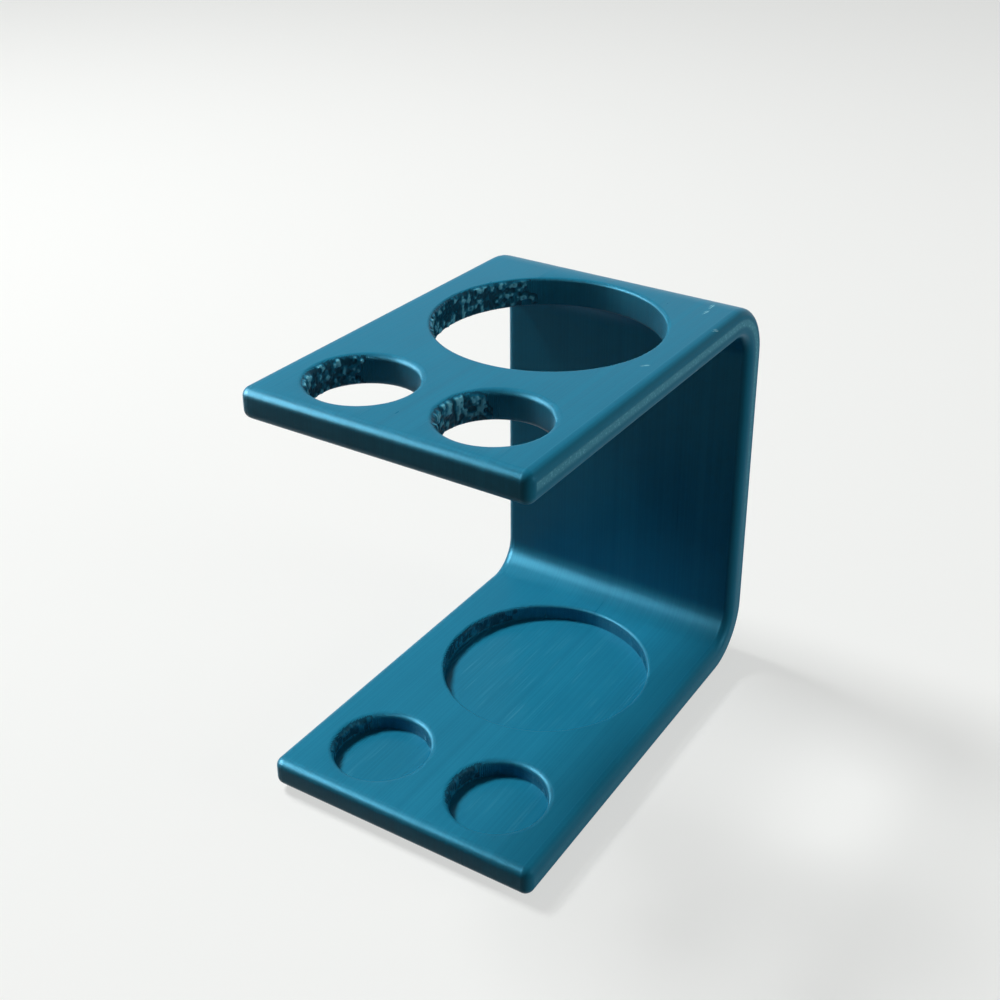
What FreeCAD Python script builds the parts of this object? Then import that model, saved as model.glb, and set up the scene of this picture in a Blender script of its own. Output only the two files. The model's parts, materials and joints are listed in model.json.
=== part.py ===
import FreeCAD, Part
import os

# Toothbrush holder: a C-shaped bracket made in one piece, standing on four rubber feet.
# A shelf with two brush holes and a tube hole reaches forward over a base with a shallow seat under each hole.
# Millimetres, +Z up, +X to the right of someone facing the open front, which looks along -Y.
# The origin is on the surface that the feet stand on, midway across the width and the depth.

# Bracket
height = 80.5          # underside of the base to the top of the shelf
wall = 5.75            # thickness of the shelf, the back and the base
bend_inside = 6.0      # inside radius of both bends
edge_round = 1.75      # rounding of the front and side edges
edge_limit_share = 0.45  # most of the wall that an edge rounding may take

# Holes in the shelf, and the seats under them in the base
brush_bore = 18.5      # diameter
tube_bore = 42.2       # diameter
brush_seat_less = 0.7  # how much narrower a brush's seat is than its hole
tube_seat_less = 1.3   # how much narrower the tube's seat is than its hole
web = 7.0              # between the brush holes
tube_web = 6.5         # from the brush holes back to the tube hole
side_land = 5.5        # least width left beside a hole
front_land = 4.0       # from the front edge to the brush holes
back_land = 1.05       # from the tube hole to the start of the bend
seat_floor = 2.5       # thickness left under the seats
brush_rim = 1.2        # rounding of the rims of the brush holes and their seats
tube_rim = 0.7         # rounding of the rims of the tube hole and its seat
rim_limit_share = 0.45   # most of a seat's depth that a rim rounding may take
land_limit_share = 0.7   # most of the flat beside a hole that a rim rounding may take

# Feet
foot_diameter = 8.0
foot_height = 2.0
foot_proud = 1.0       # how far a foot stands out of its pocket
foot_round = 0.4       # rounding of a foot's lower edge
foot_clearance = 0.1   # from a foot's side to its pocket
foot_land = 4.0        # from a foot to the side and front faces
foot_bend_land = 1.0   # from a rear foot to the start of the bend

overrun = 1.0          # how far each cut runs past the face it starts from
touch = 0.01           # how near an edge lies to a face that it belongs to

# Worked out from the sizes above
bend_outside = bend_inside + wall
width = max(2 * brush_bore + web, tube_bore) + 2 * side_land
depth = front_land + brush_bore + tube_web + tube_bore + back_land + bend_outside
edge = min(edge_round, edge_limit_share * wall)
brush_land = min(front_land - edge, side_land - edge, web / 2, tube_web / 2)
tube_land = min(back_land, side_land - edge, tube_web / 2)
seat_rim_limit = rim_limit_share * (wall - seat_floor)
brush_rounding = min(brush_rim, seat_rim_limit, land_limit_share * brush_land)
tube_rounding = min(tube_rim, seat_rim_limit, land_limit_share * tube_land)

right = width / 2
front = -depth / 2
back = depth / 2
bottom = foot_proud
top = bottom + height
base_top = bottom + wall
shelf_under = top - wall
bend_start = back - bend_outside
seat_level = bottom + seat_floor
pocket_level = bottom + foot_height - foot_proud

brush_seat = brush_bore - brush_seat_less
tube_seat = tube_bore - tube_seat_less
brush_x = (brush_bore + web) / 2
brush_y = front + front_land + brush_bore / 2
tube_y = bend_start - back_land - tube_bore / 2
foot_x = right - foot_land - foot_diameter / 2
foot_front_y = front + foot_land + foot_diameter / 2
foot_rear_y = bend_start - foot_bend_land - foot_diameter / 2

holes = [
    (-brush_x, brush_y, brush_bore, brush_seat, brush_rounding),
    (brush_x, brush_y, brush_bore, brush_seat, brush_rounding),
    (0, tube_y, tube_bore, tube_seat, tube_rounding),
]
feet = {
    "foot_front_left": (-foot_x, foot_front_y),
    "foot_front_right": (foot_x, foot_front_y),
    "foot_rear_left": (-foot_x, foot_rear_y),
    "foot_rear_right": (foot_x, foot_rear_y),
}


def point(y, z):
    """A point of the side outline, which is drawn on the left side face."""
    return FreeCAD.Vector(-right, y, z)


def quarter_bend(centre_y, centre_z, radius, up):
    """The quarter arc at the back of the outline about a centre, above it or below it."""
    diagonal = radius / 2 ** 0.5
    rise = 1 if up else -1
    level_end = point(centre_y, centre_z + rise * radius)
    middle = point(centre_y + diagonal, centre_z + rise * diagonal)
    upright_end = point(centre_y + radius, centre_z)
    return Part.Arc(level_end, middle, upright_end).toShape()


def side_outline():
    """The C seen from the side, as one closed wire: outside from the base to the shelf, then back inside."""
    low = bottom + bend_outside
    high = top - bend_outside
    inner_back = back - wall
    edges = [
        Part.makeLine(point(front, bottom), point(bend_start, bottom)),
        quarter_bend(bend_start, low, bend_outside, up=False),
        Part.makeLine(point(back, low), point(back, high)),
        quarter_bend(bend_start, high, bend_outside, up=True),
        Part.makeLine(point(bend_start, top), point(front, top)),
        Part.makeLine(point(front, top), point(front, shelf_under)),
        Part.makeLine(point(front, shelf_under), point(bend_start, shelf_under)),
        quarter_bend(bend_start, high, bend_inside, up=True),
        Part.makeLine(point(inner_back, high), point(inner_back, low)),
        quarter_bend(bend_start, low, bend_inside, up=False),
        Part.makeLine(point(bend_start, base_top), point(front, base_top)),
        Part.makeLine(point(front, base_top), point(front, bottom)),
    ]
    return Part.Wire(Part.__sortEdges__(edges))


def lies_on(edge_shape, axis, place):
    """Whether the whole edge lies at one place on an axis (0 is X, 1 is Y, 2 is Z)."""
    box = edge_shape.BoundBox
    lowest = (box.XMin, box.YMin, box.ZMin)[axis]
    highest = (box.XMax, box.YMax, box.ZMax)[axis]
    return abs(lowest - place) < touch and abs(highest - place) < touch


def outer_edges(solid):
    """The edges of the plain C that are rounded: all round both side faces, and along both front faces."""
    places = [(0, -right), (0, right), (1, front)]
    return [e for e in solid.Edges if any(lies_on(e, axis, place) for axis, place in places)]


def upright_cylinder(x, y, diameter, low, high):
    """A round bar from one level to another."""
    return Part.makeCylinder(diameter / 2, high - low, FreeCAD.Vector(x, y, low))


def cutters():
    """The holes through the shelf, the seats in the base and the pockets for the feet."""
    tools = []
    for x, y, bore, seat, rounding in holes:
        tools.append(upright_cylinder(x, y, bore, shelf_under - overrun, top + overrun))
        tools.append(upright_cylinder(x, y, seat, seat_level, base_top + overrun))
    pocket = foot_diameter + 2 * foot_clearance
    for x, y in feet.values():
        tools.append(upright_cylinder(x, y, pocket, bottom - overrun, pocket_level))
    return tools


def rim_edges(solid, x, y, level):
    """The full circle of a hole or seat at one level, about its centre."""
    circles = [e for e in solid.Edges if e.isClosed() and not e.Degenerated and lies_on(e, 2, level)]
    return [e for e in circles if e.BoundBox.Center.distanceToPoint(FreeCAD.Vector(x, y, level)) < touch]


def holder_body():
    """The bracket: the rounded C with its holes, seats and pockets, and its rims rounded."""
    plain = Part.Face(side_outline()).extrude(FreeCAD.Vector(width, 0, 0))
    rounded = plain.makeFillet(edge, outer_edges(plain))
    body = rounded.cut(Part.makeCompound(cutters())).Solids[0]
    for x, y, bore, seat, rounding in holes:
        rims = [e for level in (top, shelf_under, base_top) for e in rim_edges(body, x, y, level)]
        body = body.makeFillet(rounding, rims)
    return body.Solids[0]


def foot(x, y):
    """One rubber foot: a disc seated on its pocket's end, with its lower edge rounded."""
    disc = upright_cylinder(x, y, foot_diameter, bottom - foot_proud, pocket_level)
    lower = [e for e in disc.Edges if e.BoundBox.ZMax < bottom]
    return disc.makeFillet(foot_round, lower).Solids[0]


def export(shape, name):
    """Write one node's solid, and print its size."""
    box = shape.optimalBoundingBox(False)
    print(name, "valid" if shape.isValid() else "not valid", round(shape.Volume, 1), "mm3",
          round(box.XLength, 2), "x", round(box.YLength, 2), "x", round(box.ZLength, 2))
    shape.exportStep(os.path.join("parts", name + ".step"))


os.makedirs("parts", exist_ok=True)
export(holder_body(), "holder_body")
for foot_name, (foot_centre_x, foot_centre_y) in feet.items():
    export(foot(foot_centre_x, foot_centre_y), foot_name)
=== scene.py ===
import json
import math

import bmesh
import bpy
import numpy as np
from mathutils import Matrix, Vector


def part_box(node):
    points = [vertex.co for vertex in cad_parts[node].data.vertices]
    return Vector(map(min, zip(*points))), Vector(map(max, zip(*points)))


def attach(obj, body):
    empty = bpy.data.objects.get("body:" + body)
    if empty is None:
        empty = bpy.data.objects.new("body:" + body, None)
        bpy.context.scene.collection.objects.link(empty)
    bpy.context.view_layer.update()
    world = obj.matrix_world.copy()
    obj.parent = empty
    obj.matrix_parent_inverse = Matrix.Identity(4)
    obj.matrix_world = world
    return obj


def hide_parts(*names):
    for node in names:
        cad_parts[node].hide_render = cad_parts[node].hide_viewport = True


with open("model.json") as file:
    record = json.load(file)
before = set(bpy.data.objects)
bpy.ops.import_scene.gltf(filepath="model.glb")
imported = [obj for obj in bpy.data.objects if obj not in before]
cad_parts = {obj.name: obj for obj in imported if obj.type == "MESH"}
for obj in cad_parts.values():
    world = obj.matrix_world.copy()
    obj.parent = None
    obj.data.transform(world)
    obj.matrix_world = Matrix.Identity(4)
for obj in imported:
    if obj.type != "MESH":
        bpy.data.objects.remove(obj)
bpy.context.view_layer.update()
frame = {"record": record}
mm = 0.001
nodeLow, nodeHigh = (np.array(corner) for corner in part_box("holder_body"))
spaces = {o["name"]: np.array(o["box_m"]).mean(0) for o in frame["record"]["physics"]["openings"]}
print("frame loaded, bracket from", nodeLow, "to", nodeHigh)


def meshPiece(name, verts, quads, sharpAngle, marks=None):
    # one welded closed mesh from whole arrays of points and quads; marks hold a value for each point
    mesh = bpy.data.meshes.new(name)
    mesh.from_pydata(verts, [], quads)
    for label, values in (marks or {}).items():
        mark = mesh.attributes.new(label, "FLOAT", "POINT")
        mark.data.foreach_set("value", np.ravel(values).astype(np.float32))
    shell = bmesh.new()
    shell.from_mesh(mesh)
    bmesh.ops.remove_doubles(shell, verts=shell.verts, dist=1e-7)
    bmesh.ops.delete(shell, geom=[v for v in shell.verts if not v.link_faces], context="VERTS")
    openEdges = sum(len(e.link_faces) != 2 for e in shell.edges)
    shell.to_mesh(mesh)
    shell.free()
    mesh.validate()
    mesh.shade_smooth()
    mesh.set_sharp_from_angle(angle=math.radians(sharpAngle))
    piece = bpy.data.objects.new(name, mesh)
    bpy.context.scene.collection.objects.link(piece)
    triangles = sum(len(p.vertices) - 2 for p in mesh.polygons)
    print(name, triangles, "triangles,", openEdges, "open edges")
    return piece


def gridQuads(rows, columns, closedRows=False):
    # quads of a grid numbered row by row, turned so that (along rows) x (along columns) points out
    i = np.arange(rows if closedRows else rows - 1)[:, None]
    j = np.arange(columns - 1)[None, :]
    k = (i + 1) % rows
    corners = [i * columns + j, k * columns + j, k * columns + j + 1, i * columns + j + 1]
    return np.stack([c + 0 * i * j for c in corners], -1)


def smoothNoise(u, v, cells, rng):
    # random heights on a lattice of cells, eased between: value = mix of the four corners by 3t^2 - 2t^3
    lattice = rng.random((cells[0] + 2, cells[1] + 2))
    a = np.clip(u, 0, 1) * cells[0]
    b = np.clip(v, 0, 1) * cells[1]
    i, j = np.floor(a).astype(int), np.floor(b).astype(int)
    s, t = a - i, b - j
    s, t = s * s * (3 - 2 * s), t * t * (3 - 2 * t)
    low = lattice[i, j] * (1 - t) + lattice[i, j + 1] * t
    high = lattice[i + 1, j] * (1 - t) + lattice[i + 1, j + 1] * t
    return low * (1 - s) + high * s


def ease(t):
    # 0 to 1 with level ends: 3t^2 - 2t^3
    t = np.clip(t, 0, 1)
    return t * t * (3 - 2 * t)


bracket = {
    "wall": 5.75 * mm,
    "bendInside": 6.0 * mm,
    "edgeRound": 1.75 * mm,
    "brushRim": 1.2 * mm,
    "tubeRim": 0.7 * mm,
    "brushBore": 18.5 * mm,
    "brushSeat": 17.8 * mm,
    "tubeBore": 42.2 * mm,
    "tubeSeat": 40.9 * mm,
    "seatFloor": 2.5 * mm,
    "pocketBore": 8.2 * mm,
    "pocketDepth": 1.0 * mm,
    "layer": 0.25 * mm,        # printed lying on its side, so the layers stack across the width
    "groove": 0.010 * mm,      # depth of the line between two layers
    "wobble": 0.007 * mm,      # most that one layer sits back from the next
    "slowShare": 0.4,          # part of the wobble that drifts over many layers
    "slowCells": 14,           # number of drifts across the width
    "leanCells": 40,           # number of groups of leaning layers across the width
    "seatTilt": 0.012 * mm,    # most that a layer leans in a seat's floor, which makes streaks there
    "bedShare": 0.35,          # part of the groove left on the side that lay on the printer's bed
    "shoulderShare": 0.22,     # part of a layer taken by each rounded shoulder
    "stepShare": 0.6,          # 1 leaves every layer square-edged, 0 follows the curve
    "sideLines": 7,            # lines laid round each side face
    "lineShares": (0, 0.25, 0.75),  # the groove beside a line, and the two edges of its flat
    # shares of the side's width where the frosting from the bed starts, is full, thins and ends
    "bedStrip": (-0.05, 0.18, 0.50, 0.85),
    "frostLitRise": (0.50, 0.88),   # shares of the height between which the strip's painted light grows
    "frostShadedShare": 0.2,             # painted shade: how much of the strip is left further down
    "bendSteps": 12,
    "edgeSteps": 8,
    "sideSteps": 8,
    "rimSteps": 5,
    "sharpAngle": 75,          # degrees between faces past which an edge is shaded sharp
    "seed": 11,
}


def layerColumns(spec):
    # columns of points across the width: in a layer at left + pitch * (k + (0, s, 1 - s)),
    # the first of them the groove, and on the rounded side edges at half - edge + edge * sin a
    half, edge = nodeHigh[0], spec["edgeRound"]
    count = round(2 * (half - edge) / spec["layer"])
    pitch = 2 * (half - edge) / count
    shares = np.array([0, spec["shoulderShare"], 1 - spec["shoulderShare"]])
    layer = np.arange(count)[:, None]
    rounded = half - edge + edge * np.sin(np.radians(np.linspace(0, 90, spec["sideSteps"] + 1)))
    rng = np.random.default_rng(spec["seed"])
    across = np.linspace(0, 1, count)
    slow = smoothNoise(across, 0 * across, (spec["slowCells"], 1), rng)
    wobble = spec["wobble"] * ((1 - spec["slowShare"]) * rng.random(count) + spec["slowShare"] * slow)
    lean = 2 * rng.random(count) - 1
    lean = lean * ease(2 * smoothNoise(across, 0 * across, (spec["leanCells"], 1), rng) - 0.5)

    def spread(layered, left, right):
        return np.concatenate([left, np.broadcast_to(layered, (count, 3)).ravel(), right])

    none = 0 * rounded
    return {
        "x": spread(edge - half + pitch * (layer + shares), -rounded[:0:-1], rounded),
        "middle": spread(edge - half + pitch * (layer + 0.5), -rounded[:0:-1], rounded),
        "step": spread(spec["stepShare"], none[1:], none),
        "wobble": spread(wobble[:, None], none[1:], none),
        "tilt": spread(lean[:, None] * np.array([0, -1, 1]), none[1:], none),
        "groove": spread(spec["groove"] * np.array([1, 0, 0]), none[1:], none),
    }


def intoPlastic(columns, depthAt, everywhere):
    # a depth below the nominal surface at each column, mixed from the layer's middle and its own place;
    # a groove takes the deeper of its neighbours and goes on down from there
    step, groove = columns["step"], columns["groove"]
    depth = step * depthAt(columns["middle"]) + (1 - step) * depthAt(columns["x"])
    depth = depth + columns["wobble"] * (everywhere | (depth > 0))
    joint = np.maximum(np.roll(depth, 1), np.roll(depth, -1))
    joint = joint + groove * (everywhere | (joint > 0))
    return np.where(groove > 0, joint, depth)


def printedBracket(spec):
    columns = layerColumns(spec)
    x = columns["x"]
    half = nodeHigh[0]
    front, back = nodeLow[1], nodeHigh[1]
    bottom, top = nodeLow[2], nodeHigh[2]
    wall, edge = spec["wall"], spec["edgeRound"]
    inner, outer = spec["bendInside"], spec["bendInside"] + wall
    baseTop, shelfUnder = bottom + wall, top - wall
    seatLevel = bottom + spec["seatFloor"]
    bendY, lowZ, highZ = back - outer, bottom + outer, top - outer

    def edgeInset(at):
        # rounding of the side edges: r - sqrt(r^2 - t^2), t measured from where it starts
        t = np.clip(np.abs(at) - (half - edge), 0, edge)
        return edge - np.sqrt(edge * edge - t * t)

    inset = intoPlastic(columns, edgeInset, True)

    def faceRow(y, z, ny, nz):
        return {"y": y - inset * ny, "z": z - inset * nz, "hole": None}

    def bendRows(centreY, centreZ, radius, start, end, steps, facing=1):
        # a point of the arc moved in along its own normal: centre + (R - facing * inset) * (cos a, sin a)
        rows = []
        for a in np.radians(np.linspace(start, end, steps + 1)):
            c, s = math.cos(a), math.sin(a)
            rows.append(faceRow(centreY + radius * c, centreZ + radius * s, facing * c, facing * s))
        return rows

    def ringRow(hole, side, level, facing, turn):
        # one ring of a rounded rim, turn 0 on the face and 90 on the wall; in a layer the ring is a chord:
        # y = centre +- sqrt(R^2 - rho^2), R = bore / 2 + r (1 - sin turn), sunk by r (1 - cos turn)
        r, radius = hole["round"], hole["bore"] / 2
        c, s = math.cos(math.radians(turn)), math.sin(math.radians(turn))
        ring = radius + r * (1 - s)

        def chordAt(at):
            rho = np.abs(at) - hole["x"] if hole["x"] else at
            return np.sqrt(np.clip(ring * ring - rho * rho, 0, None))

        chord = intoPlastic(columns, chordAt, False)
        rho = np.abs(np.abs(x) - hole["x"])
        t = np.clip(radius + r - rho, 0, r)
        sunk = np.where(chord > 0, r * (1 - c), r - np.sqrt(r * r - t * t))
        z = level - facing * (sunk + inset * np.where(chord > 0, c, 1))
        return {"y": hole["y"] + side * chord, "z": z, "hole": hole["name"], "chord": chord}

    def rimRows(hole, side, level, facing, inwards):
        turns = np.linspace(0, 90, spec["rimSteps"] + 1) if hole["round"] else [90]
        rows = [ringRow(hole, side, level, facing, t) for t in turns]
        return rows if inwards else rows[::-1]

    def floorRow(hole, side, level, facing, depthZ):
        wallRow = ringRow(hole, side, level, facing, 90)
        floor = depthZ - facing * inset + spec["seatTilt"] * columns["tilt"]
        within = wallRow["chord"] > 0
        return dict(wallRow, z=np.where(within, floor, wallRow["z"]), seat=within)

    def seatRows(hole, level, facing, depthZ, sides):
        first, second = sides
        floor = [floorRow(hole, side, level, facing, depthZ) for side in sides]
        down = rimRows(hole, first, level, facing, True)
        return down + floor + rimRows(hole, second, level, facing, False)

    def holeAt(name, place, bore, rounding):
        offset = abs(place[0]) if abs(place[0]) > mm else 0
        return {"name": name, "x": offset, "y": place[1], "bore": bore, "round": rounding}

    brush, tube = spaces["brush_space_right"], spaces["tube_space"]
    footFront = np.mean([np.array(c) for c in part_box("foot_front_right")], 0)
    footRear = np.mean([np.array(c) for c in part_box("foot_rear_right")], 0)
    brushHole = holeAt("brushHole", brush, spec["brushBore"], spec["brushRim"])
    tubeHole = holeAt("tubeHole", tube, spec["tubeBore"], spec["tubeRim"])
    brushSeat = holeAt("brushSeat", brush, spec["brushSeat"], spec["brushRim"])
    tubeSeat = holeAt("tubeSeat", tube, spec["tubeSeat"], spec["tubeRim"])
    frontPocket = holeAt("frontPocket", footFront, spec["pocketBore"], 0)
    rearPocket = holeAt("rearPocket", footRear, spec["pocketBore"], 0)
    pocketZ = bottom + spec["pocketDepth"]
    bends, edges = spec["bendSteps"], spec["edgeSteps"]

    baseLow = bendRows(front + edge, bottom + edge, edge, 180, 270, edges)
    baseHigh = bendRows(front + edge, baseTop - edge, edge, 90, 180, edges)
    shelfHigh = bendRows(front + edge, top - edge, edge, 90, 180, edges)
    shelfLow = bendRows(front + edge, shelfUnder + edge, edge, 180, 270, edges)
    lowBend = bendRows(bendY, lowZ, outer, 270, 360, bends)
    highBend = bendRows(bendY, highZ, outer, 0, 90, bends)
    highInner = bendRows(bendY, highZ, inner, 90, 0, bends, -1)
    lowInner = bendRows(bendY, lowZ, inner, 0, -90, bends, -1)

    # three closed bands of rows round the C, which meet at the shelf's holes
    mainBand = (baseLow + seatRows(frontPocket, bottom, -1, pocketZ, (-1, 1))
                + seatRows(rearPocket, bottom, -1, pocketZ, (-1, 1)) + lowBend + highBend
                + rimRows(tubeHole, 1, top, 1, True) + rimRows(tubeHole, 1, shelfUnder, -1, False)
                + highInner + lowInner + seatRows(tubeSeat, baseTop, 1, seatLevel, (1, -1))
                + seatRows(brushSeat, baseTop, 1, seatLevel, (1, -1)) + baseHigh)
    webBand = (rimRows(brushHole, 1, top, 1, True) + rimRows(brushHole, 1, shelfUnder, -1, False)
               + rimRows(tubeHole, -1, shelfUnder, -1, True) + rimRows(tubeHole, -1, top, 1, False))
    frontBand = (shelfHigh + shelfLow + rimRows(brushHole, -1, shelfUnder, -1, True)
                 + rimRows(brushHole, -1, top, 1, False))

    verts, quads, seats, frostAndPaintedLight, start = [], [], [], [], 0
    for band in (mainBand, webBand, frontBand):
        count = len(band)
        y = np.array([row["y"] for row in band])
        z = np.array([row["z"] for row in band])
        verts.append(np.stack([np.broadcast_to(x, y.shape), y, z], -1).reshape(-1, 3))
        grid = gridQuads(count, len(x), closedRows=True)
        opened = np.array([row["chord"] > 0 if row["hole"] else np.ones(len(x), bool) for row in band])
        used = opened | np.roll(opened, -1, 0)
        used = used[:, :-1] | used[:, 1:]
        names = [row["hole"] for row in band]
        same = np.array([names[i] is not None and names[i] == names[(i + 1) % count] for i in range(count)])
        keep = used | ~same[:, None]
        quads.append(grid[keep] + start)
        seats.append(np.concatenate([1.0 * row.get("seat", 0 * x) for row in band]))
        frostAndPaintedLight.append(np.zeros(y.size))
        start += y.size

    def flatRows(first, second, z, nz):
        return [faceRow(hole["y"], z, 0, nz) for hole in (first, second)]

    # side faces: lines laid side by side from the outside of the C to its inside, y and z mixed by share
    outside = (baseLow + flatRows(frontPocket, rearPocket, bottom, -1) + lowBend + highBend
               + flatRows(tubeHole, brushHole, top, 1) + shelfHigh)
    inside = (baseHigh[::-1] + flatRows(brushSeat, tubeSeat, baseTop, 1) + lowInner[::-1] + highInner[::-1]
              + flatRows(tubeHole, brushHole, shelfUnder, -1) + shelfLow[::-1])
    lines = spec["sideLines"]
    shares = ((np.arange(lines)[:, None] + np.array(spec["lineShares"])) / lines).ravel()
    shares = np.tile(np.append(shares, 1), (len(outside), 1))
    sunk = np.zeros(shares.shape)
    sunk[1:-1, 3:-1:3] = spec["groove"]
    shares[[0, -1]] = shares[[0, -1]] > 0.5      # the lines run together at the two front faces
    begin, full, thin, end = spec["bedStrip"]
    strip = ease((shares - begin) / (full - begin)) * ease((end - shares) / (end - thin))
    for column, sign in ((0, -1), (-1, 1)):
        outY, outZ = (np.array([row[k][column] for row in outside])[:, None] for k in "yz")
        inY, inZ = (np.array([row[k][column] for row in inside])[:, None] for k in "yz")
        y = outY * (1 - shares) + inY * shares
        z = outZ * (1 - shares) + inZ * shares
        pressed = sunk * (spec["bedShare"] if sign > 0 else 1)
        verts.append(np.stack([sign * (half - pressed), y, z], -1).reshape(-1, 3))
        seats.append(np.zeros(y.size))
        # painted light: the strip is drawn stronger towards the top, where the light falls, and weaker lower
        # down
        rise = ease(((z - bottom) / (top - bottom) - spec["frostLitRise"][0]) / np.ptp(spec["frostLitRise"]))
        frostAndPaintedLight.append((strip * (sign > 0) * (spec["frostShadedShare"] + (1 - spec["frostShadedShare"]) * rise)).ravel())
        grid = gridQuads(len(outside), shares.shape[1]).reshape(-1, 4)
        quads.append((grid if sign > 0 else grid[:, ::-1]) + start)
        start += y.size
    marks = {"seatFloor": np.concatenate(seats), "frostAndPaintedLight": np.concatenate(frostAndPaintedLight)}
    piece = meshPiece("printedBracket", np.concatenate(verts), np.concatenate(quads),
                      spec["sharpAngle"], marks)
    even = piece.modifiers.new("evenShading", "WEIGHTED_NORMAL")
    even.mode = "FACE_AREA"
    even.keep_sharp = True
    return piece


body = printedBracket(bracket)
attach(body, "root")
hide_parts("holder_body")

sag = {
    # degrees either side of -X, the side that hung free while printing,
    # and most that the plastic hangs out of the wall there
    "holes": {"spread": 60, "drop": 0.50 * mm},
    "seats": {"spread": 46, "drop": 0.26 * mm},
    "step": 0.14 * mm,
    "bury": 0.20 * mm,         # how far the patch runs back into the wall
    "strand": 0.45 * mm,       # width of one line of plastic
    "blob": 0.80 * mm,
    "crumb": 0.38 * mm,
    "beadShare": 0.30,         # parts of the drop that come from strands, blobs and crumbs
    "blobShare": 0.55,
    "crumbShare": 0.35,
    "blobFrom": 0.35,          # where a blob starts to show, and over how much it grows whole
    "blobOver": 0.45,
    "strandCell": 2.0,         # sizes in blobs: of the strands' swells, a blob's height, the ragged ends
    "blobTall": 1.2,
    "raggedCell": 1.4,
    "raggedShare": 0.25,       # how far the patch's ends run in and out
    "endShare": 0.12,          # how softly they fade
    "margin": 0.10 * mm,       # kept clear of the faces above and below
    "fade": 0.50 * mm,
    "fadeTop": 0.22 * mm,
    "least": 0.03,             # keeps the two sheets of a patch apart inside its border
    "sharpAngle": 60,
    "seed": 5,
}


def sagPatch(spec, part, place, bore, lowZ, highZ, lowRound, highRound, rng):
    # at angle a from -X and height z a point is the hole's centre + rho (-cos a, sin a),
    # with rho = wall + bury - fade (bury + drop * lumps) towards the hole
    # and rho = wall + bury + fade * bury inside the plastic
    spread, radius = math.radians(part["spread"]), bore / 2
    low, high = lowZ + spec["margin"], highZ - spec["margin"]
    wide, tall = 2 * spread * radius, high - low
    u = np.linspace(0, 1, round(wide / spec["step"]))[:, None]
    v = np.linspace(0, 1, round(tall / spec["step"]))[None, :]
    u, v = np.broadcast_arrays(u, v)
    angle, z = spread * (2 * u - 1), low + tall * v

    def lattice(wideCell, tallCell):
        return smoothNoise(u, v, (max(round(wide / wideCell), 1), max(round(tall / tallCell), 1)), rng)

    blob, crumb = spec["blob"], spec["crumb"]
    count = round(wide / spec["strand"])
    along = np.clip(u * count, 0, count - 1e-6)
    own = rng.random(count)[along.astype(int)]
    swell, frayed = spec["strandCell"] * blob, spec["raggedCell"] * blob
    bead = np.sqrt(np.clip(1 - (2 * (along % 1) - 1) ** 2, 0, 1)) * own * lattice(swell, swell)
    shown = (lattice(blob, spec["blobTall"] * blob) - spec["blobFrom"]) / spec["blobOver"]
    lumps = spec["beadShare"] * bead + spec["blobShare"] * ease(shown)
    lumps = lumps + spec["crumbShare"] * ease(lattice(crumb, crumb))
    ragged = 1 - spec["raggedShare"] * lattice(frayed, frayed)
    upright = np.minimum((z - low) / spec["fade"], (high - z) / spec["fadeTop"])
    fade = ease((ragged - np.abs(2 * u - 1)) / spec["endShare"]) * ease(upright)
    fade = np.where((u == 0) | (u == 1) | (v == 0) | (v == 1), 0, np.maximum(fade, spec["least"]))
    t = np.clip(lowZ + lowRound - z, 0, lowRound) + np.clip(z - highZ + highRound, 0, highRound)
    r = np.where(z < (lowZ + highZ) / 2, lowRound, highRound)
    wall = radius + r - np.sqrt(np.clip(r * r - t * t, 0, None))
    lumps = np.clip(lumps, 0, 1)
    outer = wall + spec["bury"] - fade * (spec["bury"] + part["drop"] * lumps)
    inner = wall + spec["bury"] + fade * spec["bury"]
    sheets = [np.stack([place[0] - rho * np.cos(angle), place[1] + rho * np.sin(angle), z], -1)
              for rho in (outer, inner)]
    grid = gridQuads(*u.shape).reshape(-1, 4)
    quads = np.concatenate([grid, grid[:, ::-1] + u.size])
    return np.concatenate(sheets).reshape(-1, 3), quads, np.tile((fade * lumps * part["drop"]).ravel(), 2)


def printSag(spec):
    rng = np.random.default_rng(spec["seed"])
    top, bottom, wall = nodeHigh[2], nodeLow[2], bracket["wall"]
    verts, quads, heights, start = [], [], [], 0
    for name in ("brush_space_left", "brush_space_right", "tube_space"):
        kind = name.split("_")[0]
        rim = bracket[kind + "Rim"]
        levels = [("holes", bracket[kind + "Bore"], top - wall, top, rim),
                  ("seats", bracket[kind + "Seat"], bottom + bracket["seatFloor"], bottom + wall, 0)]
        for part, bore, lowZ, highZ, lowRound in levels:
            points, faces, lumps = sagPatch(spec, spec[part], spaces[name], bore, lowZ, highZ,
                                            lowRound, rim, rng)
            verts.append(points)
            quads.append(faces + start)
            heights.append(lumps / spec["holes"]["drop"])
            start += len(points)
    marks = {"lump": np.concatenate(heights)}
    return meshPiece("printSag", np.concatenate(verts), np.concatenate(quads), spec["sharpAngle"], marks)


droop = printSag(sag)
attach(droop, "root")

pad = {
    "round": 0.4 * mm,
    "dish": 0.05 * mm,         # the sole is a little hollow inside its rim
    "rimWide": 0.5 * mm,
    "landShare": 0.6,          # part of the rim that stands on the floor
    "chamfer": 0.1 * mm,       # of the edge inside the pocket
    "turns": 96,
    "roundSteps": 6,
    "soleRings": 14,
    "pebble": 0.012 * mm,
    "pebbles": 26,             # dimples across the sole
    "sharpAngle": 50,
    "seed": 23,
}


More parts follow.
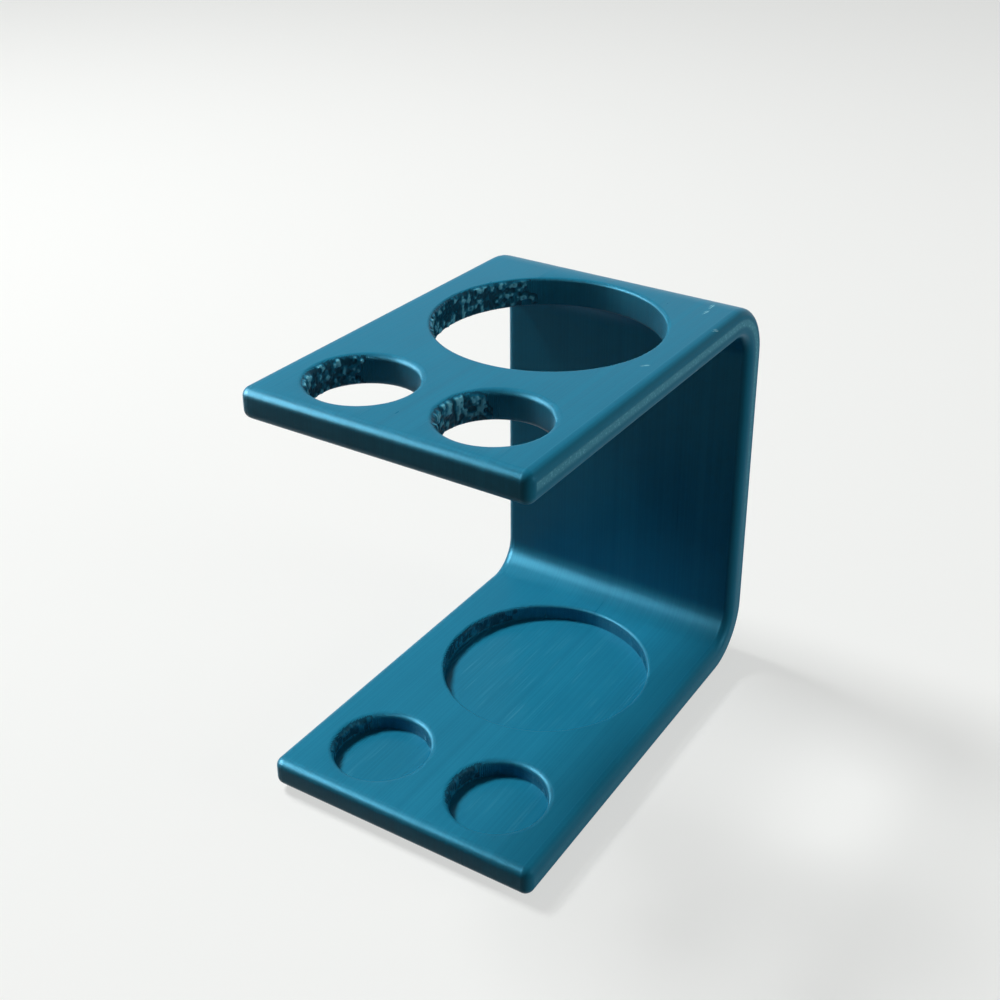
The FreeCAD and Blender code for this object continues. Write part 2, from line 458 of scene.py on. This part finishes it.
def rubberFoot(spec, name, node, seed):
    # a profile of radius and height turned about the foot's axis, its sole dimpled by random heights
    low, high = (np.array(c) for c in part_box(node))
    middle, radius = (low + high) / 2, (high[0] - low[0]) / 2
    a = np.radians(np.linspace(-90, 0, spec["roundSteps"] + 1))
    rim = radius - spec["round"]
    sole = np.linspace(0, rim - spec["rimWide"], spec["soleRings"])
    land, top = rim - spec["landShare"] * spec["rimWide"], high[2] - low[2]
    r = np.concatenate([sole, [land], rim + spec["round"] * np.cos(a),
                        [radius, radius - spec["chamfer"], 0]])
    z = np.concatenate([0 * sole + spec["dish"], [0], spec["round"] * (1 + np.sin(a)),
                        top - np.array([spec["chamfer"], 0, 0])])
    turn = np.linspace(0, 2 * math.pi, spec["turns"], endpoint=False)[:, None]
    rng = np.random.default_rng(seed)
    x, y = r * np.cos(turn), r * np.sin(turn)
    cells = (spec["pebbles"], spec["pebbles"])
    dimple = smoothNoise(0.5 + x / (2 * radius), 0.5 + y / (2 * radius), cells, rng)
    z = low[2] + z + spec["pebble"] * dimple * ((r > 0) & (r < rim) & (z < mm))
    verts = np.stack([middle[0] + x, middle[1] + y, z], -1).reshape(-1, 3)
    quads = gridQuads(spec["turns"], len(r), True).reshape(-1, 4)
    piece = meshPiece(name, verts, quads, spec["sharpAngle"])
    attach(piece, "root")
    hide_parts(node)
    return piece


padNodes = {
    "padFrontLeft": "foot_front_left",
    "padFrontRight": "foot_front_right",
    "padRearLeft": "foot_rear_left",
    "padRearRight": "foot_rear_right",
}
pads = [rubberFoot(pad, name, node, pad["seed"] + i) for i, (name, node) in enumerate(padNodes.items())]


smooth = {"interpolation_type": "SMOOTHSTEP"}


def makeGroup(name, inputs, outputs):
    group = bpy.data.node_groups.new(name, "ShaderNodeTree")
    for label, kind, value in inputs:
        socket = group.interface.new_socket(label, in_out="INPUT", socket_type=kind)
        if value is not None:
            socket.default_value = value
    for label, kind in outputs:
        group.interface.new_socket(label, in_out="OUTPUT", socket_type=kind)
    return group, group.nodes.new("NodeGroupInput").outputs, group.nodes.new("NodeGroupOutput").inputs


def addNode(tree, kind, settings=None, **links):
    # a node with its settings, and its inputs by name: a socket is linked, anything else is a value
    node = tree.nodes.new(kind)
    for key, value in (settings or {}).items():
        setattr(node, key, value)
    for key, value in links.items():
        socket = node.inputs[int(key[1:]) if key[0] == "_" else key.replace("__", " ")]
        if isinstance(value, bpy.types.NodeSocket):
            tree.links.new(value, socket)
        else:
            socket.default_value = value
    return node


def layerGroup():
    # each printed layer's own tone, the slow drift between layers, and the dark line where two layers meet
    group, given, put = makeGroup("printLayers",
        [("Coordinate", "NodeSocketVector", None), ("Layer", "NodeSocketFloat", 0.00025),
         ("Drift", "NodeSocketFloat", 400.0), ("Drift Share", "NodeSocketFloat", 0.55),
         ("Line Width", "NodeSocketFloat", 0.14)],
        [("Tone", "NodeSocketFloat"), ("Line", "NodeSocketFloat")])
    across = addNode(group, "ShaderNodeSeparateXYZ", _0=given["Coordinate"]).outputs["X"]
    count = addNode(group, "ShaderNodeMath", {"operation": "DIVIDE"},
                    _0=across, _1=given["Layer"]).outputs[0]
    number = addNode(group, "ShaderNodeMath", {"operation": "FLOOR"}, _0=count).outputs[0]
    own = addNode(group, "ShaderNodeTexWhiteNoise", {"noise_dimensions": "1D"}, W=number).outputs["Value"]
    place = addNode(group, "ShaderNodeMath", {"operation": "MULTIPLY"},
                    _0=across, _1=given["Drift"]).outputs[0]
    drift = addNode(group, "ShaderNodeTexNoise", {"noise_dimensions": "1D"},
                    W=place, Scale=1.0, Detail=2.0).outputs[0]
    tone = addNode(group, "ShaderNodeMix", {"data_type": "FLOAT"},
                   _0=given["Drift Share"], _2=own, _3=drift).outputs[0]
    group.links.new(tone, put["Tone"])
    half = addNode(group, "ShaderNodeMath", {"operation": "PINGPONG"}, _0=count, _1=0.5).outputs[0]
    line = addNode(group, "ShaderNodeMapRange", smooth,
                   _0=half, _1=0.0, _2=given["Line Width"], _3=1.0, _4=0.0)
    group.links.new(line.outputs[0], put["Line"])
    return group


def grainGroup():
    # fine and coarse mottling of a surface, each about 0 to 1
    group, given, put = makeGroup("surfaceGrain",
        [("Coordinate", "NodeSocketVector", None), ("Fine", "NodeSocketFloat", 3000.0),
         ("Coarse", "NodeSocketFloat", 80.0)],
        [("Fine", "NodeSocketFloat"), ("Coarse", "NodeSocketFloat")])
    for label, detail in (("Fine", 2.0), ("Coarse", 4.0)):
        noise = addNode(group, "ShaderNodeTexNoise",
                        Vector=given["Coordinate"], Scale=given[label], Detail=detail)
        group.links.new(noise.outputs[0], put[label])
    return group


def scuffGroup():
    # thin pale scratches side by side: a noise drawn out along the stroke and cut to lines, in a long oval
    group, given, put = makeGroup("scuffs",
        [("Coordinate", "NodeSocketVector", None), ("Centre", "NodeSocketVector", (0, 0, 0)),
         ("Reach", "NodeSocketVector", (0.001, 0.0005, 0.0005)), ("Turn", "NodeSocketVector", (0, 0, 0)),
         ("Full Share", "NodeSocketFloat", 0.45), ("Line From", "NodeSocketFloat", 0.47),
         ("Line Full", "NodeSocketFloat", 0.57),
         ("Stroke Scale", "NodeSocketVector", (500.0, 5200.0, 500.0))],
        [("Mask", "NodeSocketFloat")])
    local = addNode(group, "ShaderNodeMapping", {"vector_type": "TEXTURE"},
                    Vector=given["Coordinate"], Location=given["Centre"], Rotation=given["Turn"]).outputs[0]
    shares = addNode(group, "ShaderNodeVectorMath", {"operation": "DIVIDE"},
                     _0=local, _1=given["Reach"]).outputs[0]
    far = addNode(group, "ShaderNodeVectorMath", {"operation": "LENGTH"}, _0=shares).outputs["Value"]
    near = addNode(group, "ShaderNodeMapRange", smooth, _0=far, _1=1.0, _2=given["Full Share"]).outputs[0]
    drawn = addNode(group, "ShaderNodeMapping", Vector=local, Scale=given["Stroke Scale"]).outputs[0]
    noise = addNode(group, "ShaderNodeTexNoise",
                    Vector=drawn, Scale=1.0, Detail=2.0, Roughness=0.5).outputs[0]
    lines = addNode(group, "ShaderNodeMapRange", smooth,
                    _0=noise, _1=given["Line From"], _2=given["Line Full"]).outputs[0]
    mask = addNode(group, "ShaderNodeMath", {"operation": "MULTIPLY"}, _0=lines, _1=near).outputs[0]
    group.links.new(mask, put["Mask"])
    return group


printLayers, surfaceGrain, scuffs = layerGroup(), grainGroup(), scuffGroup()

plastic = {
    "deep": (0.008, 0.145, 0.245, 1),
    "bright": (0.013, 0.205, 0.330, 1),
    "worn": (0.25, 0.55, 0.64, 1),
    "frosted": (0.13, 0.47, 0.60, 1),
    # painted shade for the sag's pits and painted highlight for its crests
    "pitShade": (0.006, 0.058, 0.100, 1),
    "crestHighlight": (0.16, 0.55, 0.70, 1),
    # painted sheen on the seats' floors
    "seatSheen": (0.06, 0.30, 0.42, 1),
    "tint": (0.30, 0.80, 1.0, 1),      # the silky filler colours the highlights too
    "specular": 0.13,
    "metallic": 0.04,
    "smooth": 0.27,                    # roughness of the glossiest layers
    "dull": 0.39,
    "frostedRough": 0.55,
    "seatRough": 0.16,
    "wornRough": 0.6,
    "grainDepth": 0.010 * mm,
    "fineGrain": 2600.0,               # noise scales, per metre
    "coarseGrain": 90.0,
    "speckScale": 3400.0,
    "seatSheenScale": (1500.0, 40.0, 0.0),
    "sheenPatchScale": (330.0, 130.0, 0.0),
    "coarseShare": 0.35,               # part of the tone that isn't the layers' own
    "lineShare": 0.12,                 # how dark the line between two layers is
    "seatSheenShare": 0.35,
    "betweenSpecks": 0.45,             # how frosted the strip is between its specks
    "bedReach": 0.30 * mm,             # how far in from the side face the bed's dullness starts
    "bedFull": 0.02 * mm,
    "pitShadeRange": (0.58, 0.22),          # lump heights between which the painted shade darkens the pits and the painted highlight pales the crests
    "crestHighlightRange": (0.56, 0.82),
    "glossRange": (0.25, 0.75),        # tones between which the layers turn from smooth to dull
    "speckRange": (0.54, 0.68),        # noise heights between which each mark comes up
    "seatSheenRange": (0.48, 0.80),
    "sheenPatchRange": (0.42, 0.66),
    "scuffs": [                        # centre, half length and half width of the oval, turn about Z
        ((0.0216, 0.0302, 0.0815), (0.0016, 0.0005, 0.001), 1.62),
        ((0.0219, 0.0270, 0.0815), (0.0014, 0.0004, 0.001), 1.45),
        ((0.0267, 0.0208, 0.0812), (0.0012, 0.0004, 0.001), 1.25),
        ((0.0235, 0.0003, 0.0815), (0.0011, 0.0003, 0.001), 0.80),
    ],
}


def printedPlastic(spec, name, sagging=False):
    material = bpy.data.materials.new(name)
    material.use_nodes = True
    tree = material.node_tree
    shader = tree.nodes["Principled BSDF"]

    def maths(operation, first, second):
        return addNode(tree, "ShaderNodeMath", {"operation": operation}, _0=first, _1=second).outputs[0]

    def blend(share, first, second):
        mix = addNode(tree, "ShaderNodeMix", {"data_type": "FLOAT"}, _0=share, _2=first, _3=second)
        return mix.outputs[0]

    def paint(share, first, second):
        mix = addNode(tree, "ShaderNodeMix", {"data_type": "RGBA"}, _0=share, _6=first, _7=second)
        return mix.outputs[2]

    def ramp(value, low, high):
        return addNode(tree, "ShaderNodeMapRange", smooth, _0=value, _1=low, _2=high).outputs[0]

    def mottle(coordinate, scale, detail, low, high):
        noise = addNode(tree, "ShaderNodeTexNoise", Vector=coordinate, Scale=scale, Detail=detail)
        return ramp(noise.outputs[0], low, high)

    here = addNode(tree, "ShaderNodeTexCoord").outputs["Object"]
    layers = addNode(tree, "ShaderNodeGroup", {"node_tree": printLayers},
                     Coordinate=here, Layer=bracket["layer"]).outputs
    grain = addNode(tree, "ShaderNodeGroup", {"node_tree": surfaceGrain},
                    Coordinate=here, Fine=spec["fineGrain"], Coarse=spec["coarseGrain"]).outputs
    share = blend(spec["coarseShare"], layers["Tone"], grain["Coarse"])
    colour = paint(share, spec["deep"], spec["bright"])
    colour = paint(maths("MULTIPLY", layers["Line"], spec["lineShare"]), colour, spec["deep"])
    low, high = spec["glossRange"]
    gloss = addNode(tree, "ShaderNodeMapRange",
                    _0=share, _1=low, _2=high, _3=spec["smooth"], _4=spec["dull"]).outputs[0]
    if sagging:
        lump = addNode(tree, "ShaderNodeAttribute", {"attribute_name": "lump"}).outputs["Fac"]
        # painted shade darkens the pits and painted highlight pales the crests, by lump height
        colour = paint(ramp(lump, *spec["pitShadeRange"]), colour, spec["pitShade"])
        colour = paint(ramp(lump, *spec["crestHighlightRange"]), colour, spec["crestHighlight"])
    else:
        # the side that lay on the bed is dull, with a frosted strip of pale specks; painted light makes the
        # strip stronger higher up and weaker lower down
        across = addNode(tree, "ShaderNodeSeparateXYZ", _0=here).outputs["X"]
        bed = ramp(across, nodeHigh[0] - spec["bedReach"], nodeHigh[0] - spec["bedFull"])
        speck = mottle(here, spec["speckScale"], 1.0, *spec["speckRange"])
        strip = addNode(tree, "ShaderNodeAttribute", {"attribute_name": "frostAndPaintedLight"}).outputs["Fac"]
        frostAndPaintedLight = maths("MULTIPLY", strip, blend(speck, spec["betweenSpecks"], 1.0))
        colour = paint(frostAndPaintedLight, colour, spec["frosted"])
        # painted sheen: the seats' floors are painted paler in faint streaks along the layers
        seat = addNode(tree, "ShaderNodeAttribute", {"attribute_name": "seatFloor"}).outputs["Fac"]
        drawn = addNode(tree, "ShaderNodeMapping", Vector=here, Scale=spec["seatSheenScale"]).outputs[0]
        lines = mottle(drawn, 1.0, 2.0, *spec["seatSheenRange"])
        broad = addNode(tree, "ShaderNodeMapping", Vector=here, Scale=spec["sheenPatchScale"]).outputs[0]
        patch = mottle(broad, 1.0, 0.0, *spec["sheenPatchRange"])
        paintedSheen = maths("MULTIPLY", lines, patch)
        paintedSheen = maths("MULTIPLY", paintedSheen, maths("MULTIPLY", seat, spec["seatSheenShare"]))
        colour = paint(paintedSheen, colour, spec["seatSheen"])
        gloss = blend(bed, blend(seat, gloss, spec["seatRough"]), spec["frostedRough"])
        rubbed = None
        for centre, reach, turn in spec["scuffs"]:
            mask = addNode(tree, "ShaderNodeGroup", {"node_tree": scuffs},
                           Coordinate=here, Centre=centre, Reach=reach, Turn=(0, 0, turn)).outputs[0]
            rubbed = mask if rubbed is None else maths("MAXIMUM", rubbed, mask)
        colour = paint(rubbed, colour, spec["worn"])
        gloss = blend(rubbed, gloss, spec["wornRough"])
    rough = addNode(tree, "ShaderNodeBump", Strength=1.0, Distance=spec["grainDepth"], Height=grain["Fine"])
    tree.links.new(colour, shader.inputs["Base Color"])
    tree.links.new(gloss, shader.inputs["Roughness"])
    tree.links.new(rough.outputs[0], shader.inputs["Normal"])
    shader.inputs["Metallic"].default_value = spec["metallic"]
    shader.inputs["Specular IOR Level"].default_value = spec["specular"]
    shader.inputs["Specular Tint"].default_value = spec["tint"]
    return material


rubber = {
    "dark": (0.018, 0.018, 0.019, 1),
    "light": (0.042, 0.042, 0.044, 1),
    "dust": (0.16, 0.155, 0.15, 1),
    "smooth": 0.62,
    "dull": 0.86,
    "grainDepth": 0.02 * mm,
    "fineGrain": 5200.0,       # noise scales, per metre
    "coarseGrain": 420.0,
    "dustHigh": 0.3 * mm,      # heights over which the dust on the sole thins out
    "dustLow": 0.02 * mm,
    "dustRange": (0.52, 0.72),
    "glossRange": (0.3, 0.7),  # mottling between which the surface turns from smooth to dull
}


def footRubber(spec):
    material = bpy.data.materials.new("footRubber")
    material.use_nodes = True
    tree = material.node_tree
    shader = tree.nodes["Principled BSDF"]
    here = addNode(tree, "ShaderNodeTexCoord").outputs["Object"]
    grain = addNode(tree, "ShaderNodeGroup", {"node_tree": surfaceGrain},
                    Coordinate=here, Fine=spec["fineGrain"], Coarse=spec["coarseGrain"]).outputs
    colour = addNode(tree, "ShaderNodeMix", {"data_type": "RGBA"},
                     _0=grain["Coarse"], _6=spec["dark"], _7=spec["light"]).outputs[2]
    height = addNode(tree, "ShaderNodeSeparateXYZ", _0=here).outputs["Z"]
    sole = addNode(tree, "ShaderNodeMapRange", smooth,
                   _0=height, _1=spec["dustHigh"], _2=spec["dustLow"]).outputs[0]
    dust = addNode(tree, "ShaderNodeMapRange", smooth,
                   _0=grain["Fine"], _1=spec["dustRange"][0], _2=spec["dustRange"][1]).outputs[0]
    dust = addNode(tree, "ShaderNodeMath", {"operation": "MULTIPLY"}, _0=dust, _1=sole).outputs[0]
    colour = addNode(tree, "ShaderNodeMix", {"data_type": "RGBA"},
                     _0=dust, _6=colour, _7=spec["dust"]).outputs[2]
    low, high = spec["glossRange"]
    gloss = addNode(tree, "ShaderNodeMapRange",
                    _0=grain["Coarse"], _1=low, _2=high, _3=spec["smooth"], _4=spec["dull"]).outputs[0]
    rough = addNode(tree, "ShaderNodeBump", Strength=1.0, Distance=spec["grainDepth"], Height=grain["Fine"])
    tree.links.new(colour, shader.inputs["Base Color"])
    tree.links.new(gloss, shader.inputs["Roughness"])
    tree.links.new(rough.outputs[0], shader.inputs["Normal"])
    return material


body.data.materials.append(printedPlastic(plastic, "printedPlastic"))
droop.data.materials.append(printedPlastic(plastic, "saggedPlastic", sagging=True))
padMaterial = footRubber(rubber)
for piece in pads:
    piece.data.materials.append(padMaterial)
print("materials made")

camera = {
    "lens": 50.31,                          # mm
    "sensor": 36,
    "nearest": 0.005,                       # metres from which the camera sees
    "place": (0.11967, -0.18909, 0.17811),
    "azimuth": 28.864,                      # from straight in front, towards the right
    "elevation": 24.999,
    "tilt": 1.557,
    "shift": (-0.1017, -0.1228),            # the picture is cut from the lower left of a wider one
}


def placeCamera(spec):
    az, el, tilt = (math.radians(spec[k]) for k in ("azimuth", "elevation", "tilt"))
    away = np.array([math.sin(az) * math.cos(el), -math.cos(az) * math.cos(el), math.sin(el)])
    level = np.array([math.cos(az), math.sin(az), 0])
    upright = np.cross(away, level)
    right = math.cos(tilt) * level + math.sin(tilt) * upright
    data = bpy.data.cameras.new("camera")
    data.lens, data.sensor_width, data.sensor_fit = spec["lens"], spec["sensor"], "HORIZONTAL"
    data.shift_x, data.shift_y = spec["shift"]
    data.clip_start = spec["nearest"]
    holder = bpy.data.objects.new("camera", data)
    turn = Matrix(np.stack([right, np.cross(away, right), away], 1).tolist()).to_4x4()
    holder.matrix_world = Matrix.Translation(spec["place"]) @ turn
    bpy.context.scene.collection.objects.link(holder)
    bpy.context.scene.camera = holder


studio = {
    "flat": 1.2,                               # radius of the level floor, in metres
    "sweep": 1.2,                              # then it turns up all round into a wall
    "wallTop": 2.6,
    "turns": 96,
    "sweepSteps": 12,
    "pale": (0.875, 0.885, 0.87, 1),           # to the eye and in reflections
    "bounce": (0.03, 0.03, 0.03, 1),           # what it throws back at the plastic
    "glow": 0.70,                              # part of the pale floor that no shadow reaches
    "upper": (1.0, 1.0, 1.0, 1),
    "lower": (0.01, 0.01, 0.01, 1),
    "upperSide": (-0.50, 0.58, 0.62),          # where the soft light comes from
    "dimAt": -0.35,                            # along that direction, where the light is least and most
    "brightAt": 0.95,
    "strength": 0.20,
    "lampCentre": (0, 0, 0.04),
    "lamps": {                                 # far is in metres; a lamp gives matt light, gloss or both
        "overhead": {"aim": (-0.60, 0.02, 0.80), "far": 0.9, "size": 0.26, "power": 9.7, "gives": "matt"},
        "topSheen": {"aim": (-0.60, 0.02, 0.80), "far": 0.9, "size": 0.80, "power": 5.0, "gives": "gloss"},
        "frontSheen": {"aim": (-0.79, -0.49, 0.42), "far": 0.7, "size": 0.56, "power": 29, "gives": "gloss"},
        "rightSide": {"aim": (0.88, 0.28, 0.16), "far": 0.9, "size": 0.4, "power": 2.6, "gives": "both"},
    },
}


def paleFloor(spec):
    # a profile of radius and height turned about Z: level, a quarter circle up, then the wall
    a = np.radians(np.linspace(0, 90, spec["sweepSteps"] + 1))
    r = np.concatenate([[0], spec["flat"] + spec["sweep"] * np.sin(a), [spec["flat"] + spec["sweep"]]])
    z = np.concatenate([[0], spec["sweep"] * (1 - np.cos(a)), [spec["wallTop"]]])
    turn = np.linspace(0, 2 * math.pi, spec["turns"], endpoint=False)[:, None]
    verts = np.stack(np.broadcast_arrays(r * np.cos(turn), r * np.sin(turn), z), -1).reshape(-1, 3)
    mesh = bpy.data.meshes.new("floor")
    mesh.from_pydata(verts, [], gridQuads(spec["turns"], len(r), True).reshape(-1, 4)[:, ::-1])
    mesh.shade_smooth()
    floor = bpy.data.objects.new("floor", mesh)
    bpy.context.scene.collection.objects.link(floor)
    material = bpy.data.materials.new("paleFloor")
    material.use_nodes = True
    tree = material.node_tree
    tree.nodes.remove(tree.nodes["Principled BSDF"])
    ray = addNode(tree, "ShaderNodeLightPath").outputs
    seen = ray["Is Camera Ray"]
    for kind in ("Is Glossy Ray", "Is Transmission Ray"):
        seen = addNode(tree, "ShaderNodeMath", {"operation": "MAXIMUM"}, _0=seen, _1=ray[kind]).outputs[0]
    lit = addNode(tree, "ShaderNodeBsdfDiffuse", Color=spec["pale"]).outputs[0]
    glow = addNode(tree, "ShaderNodeEmission", Color=spec["pale"], Strength=1.0).outputs[0]
    bounce = addNode(tree, "ShaderNodeBsdfDiffuse", Color=spec["bounce"]).outputs[0]
    pale = addNode(tree, "ShaderNodeMixShader", _0=spec["glow"], _1=lit, _2=glow).outputs[0]
    both = addNode(tree, "ShaderNodeMixShader", _0=seen, _1=bounce, _2=pale).outputs[0]
    tree.links.new(both, tree.nodes["Material Output"].inputs["Surface"])
    mesh.materials.append(material)


def softWorld(spec):
    # soft light over the wall, brightest from the upper side and dim away from it
    world = bpy.data.worlds.new("studio")
    world.use_nodes = True
    tree = world.node_tree
    facing = addNode(tree, "ShaderNodeTexCoord").outputs["Generated"]
    toward = addNode(tree, "ShaderNodeVectorMath", {"operation": "DOT_PRODUCT"},
                     _0=facing, _1=spec["upperSide"]).outputs["Value"]
    rise = addNode(tree, "ShaderNodeMapRange", smooth,
                   _0=toward, _1=spec["dimAt"], _2=spec["brightAt"]).outputs[0]
    colour = addNode(tree, "ShaderNodeMix", {"data_type": "RGBA"},
                     _0=rise, _6=spec["lower"], _7=spec["upper"]).outputs[2]
    light = addNode(tree, "ShaderNodeBackground", Color=colour, Strength=spec["strength"]).outputs[0]
    tree.links.new(light, tree.nodes["World Output"].inputs["Surface"])
    bpy.context.scene.world = world


def placeLamps(spec):
    middle = np.array(spec["lampCentre"])
    for name, lamp in spec["lamps"].items():
        data = bpy.data.lights.new(name, "AREA")
        data.shape, data.size, data.energy = "DISK", lamp["size"], lamp["power"]
        aim = np.array(lamp["aim"]) / np.linalg.norm(lamp["aim"])
        side = np.cross([0, 0, 1], aim)
        side = side / np.linalg.norm(side)
        turn = Matrix(np.stack([side, np.cross(aim, side), aim], 1).tolist()).to_4x4()
        holder = bpy.data.objects.new(name, data)
        holder.matrix_world = Matrix.Translation((middle + lamp["far"] * aim).tolist()) @ turn
        holder.visible_diffuse = lamp["gives"] != "gloss"
        holder.visible_glossy = lamp["gives"] != "matt"
        bpy.context.scene.collection.objects.link(holder)


placeCamera(camera)
paleFloor(studio)
softWorld(studio)
placeLamps(studio)
bpy.context.scene.view_settings.view_transform = "Standard"
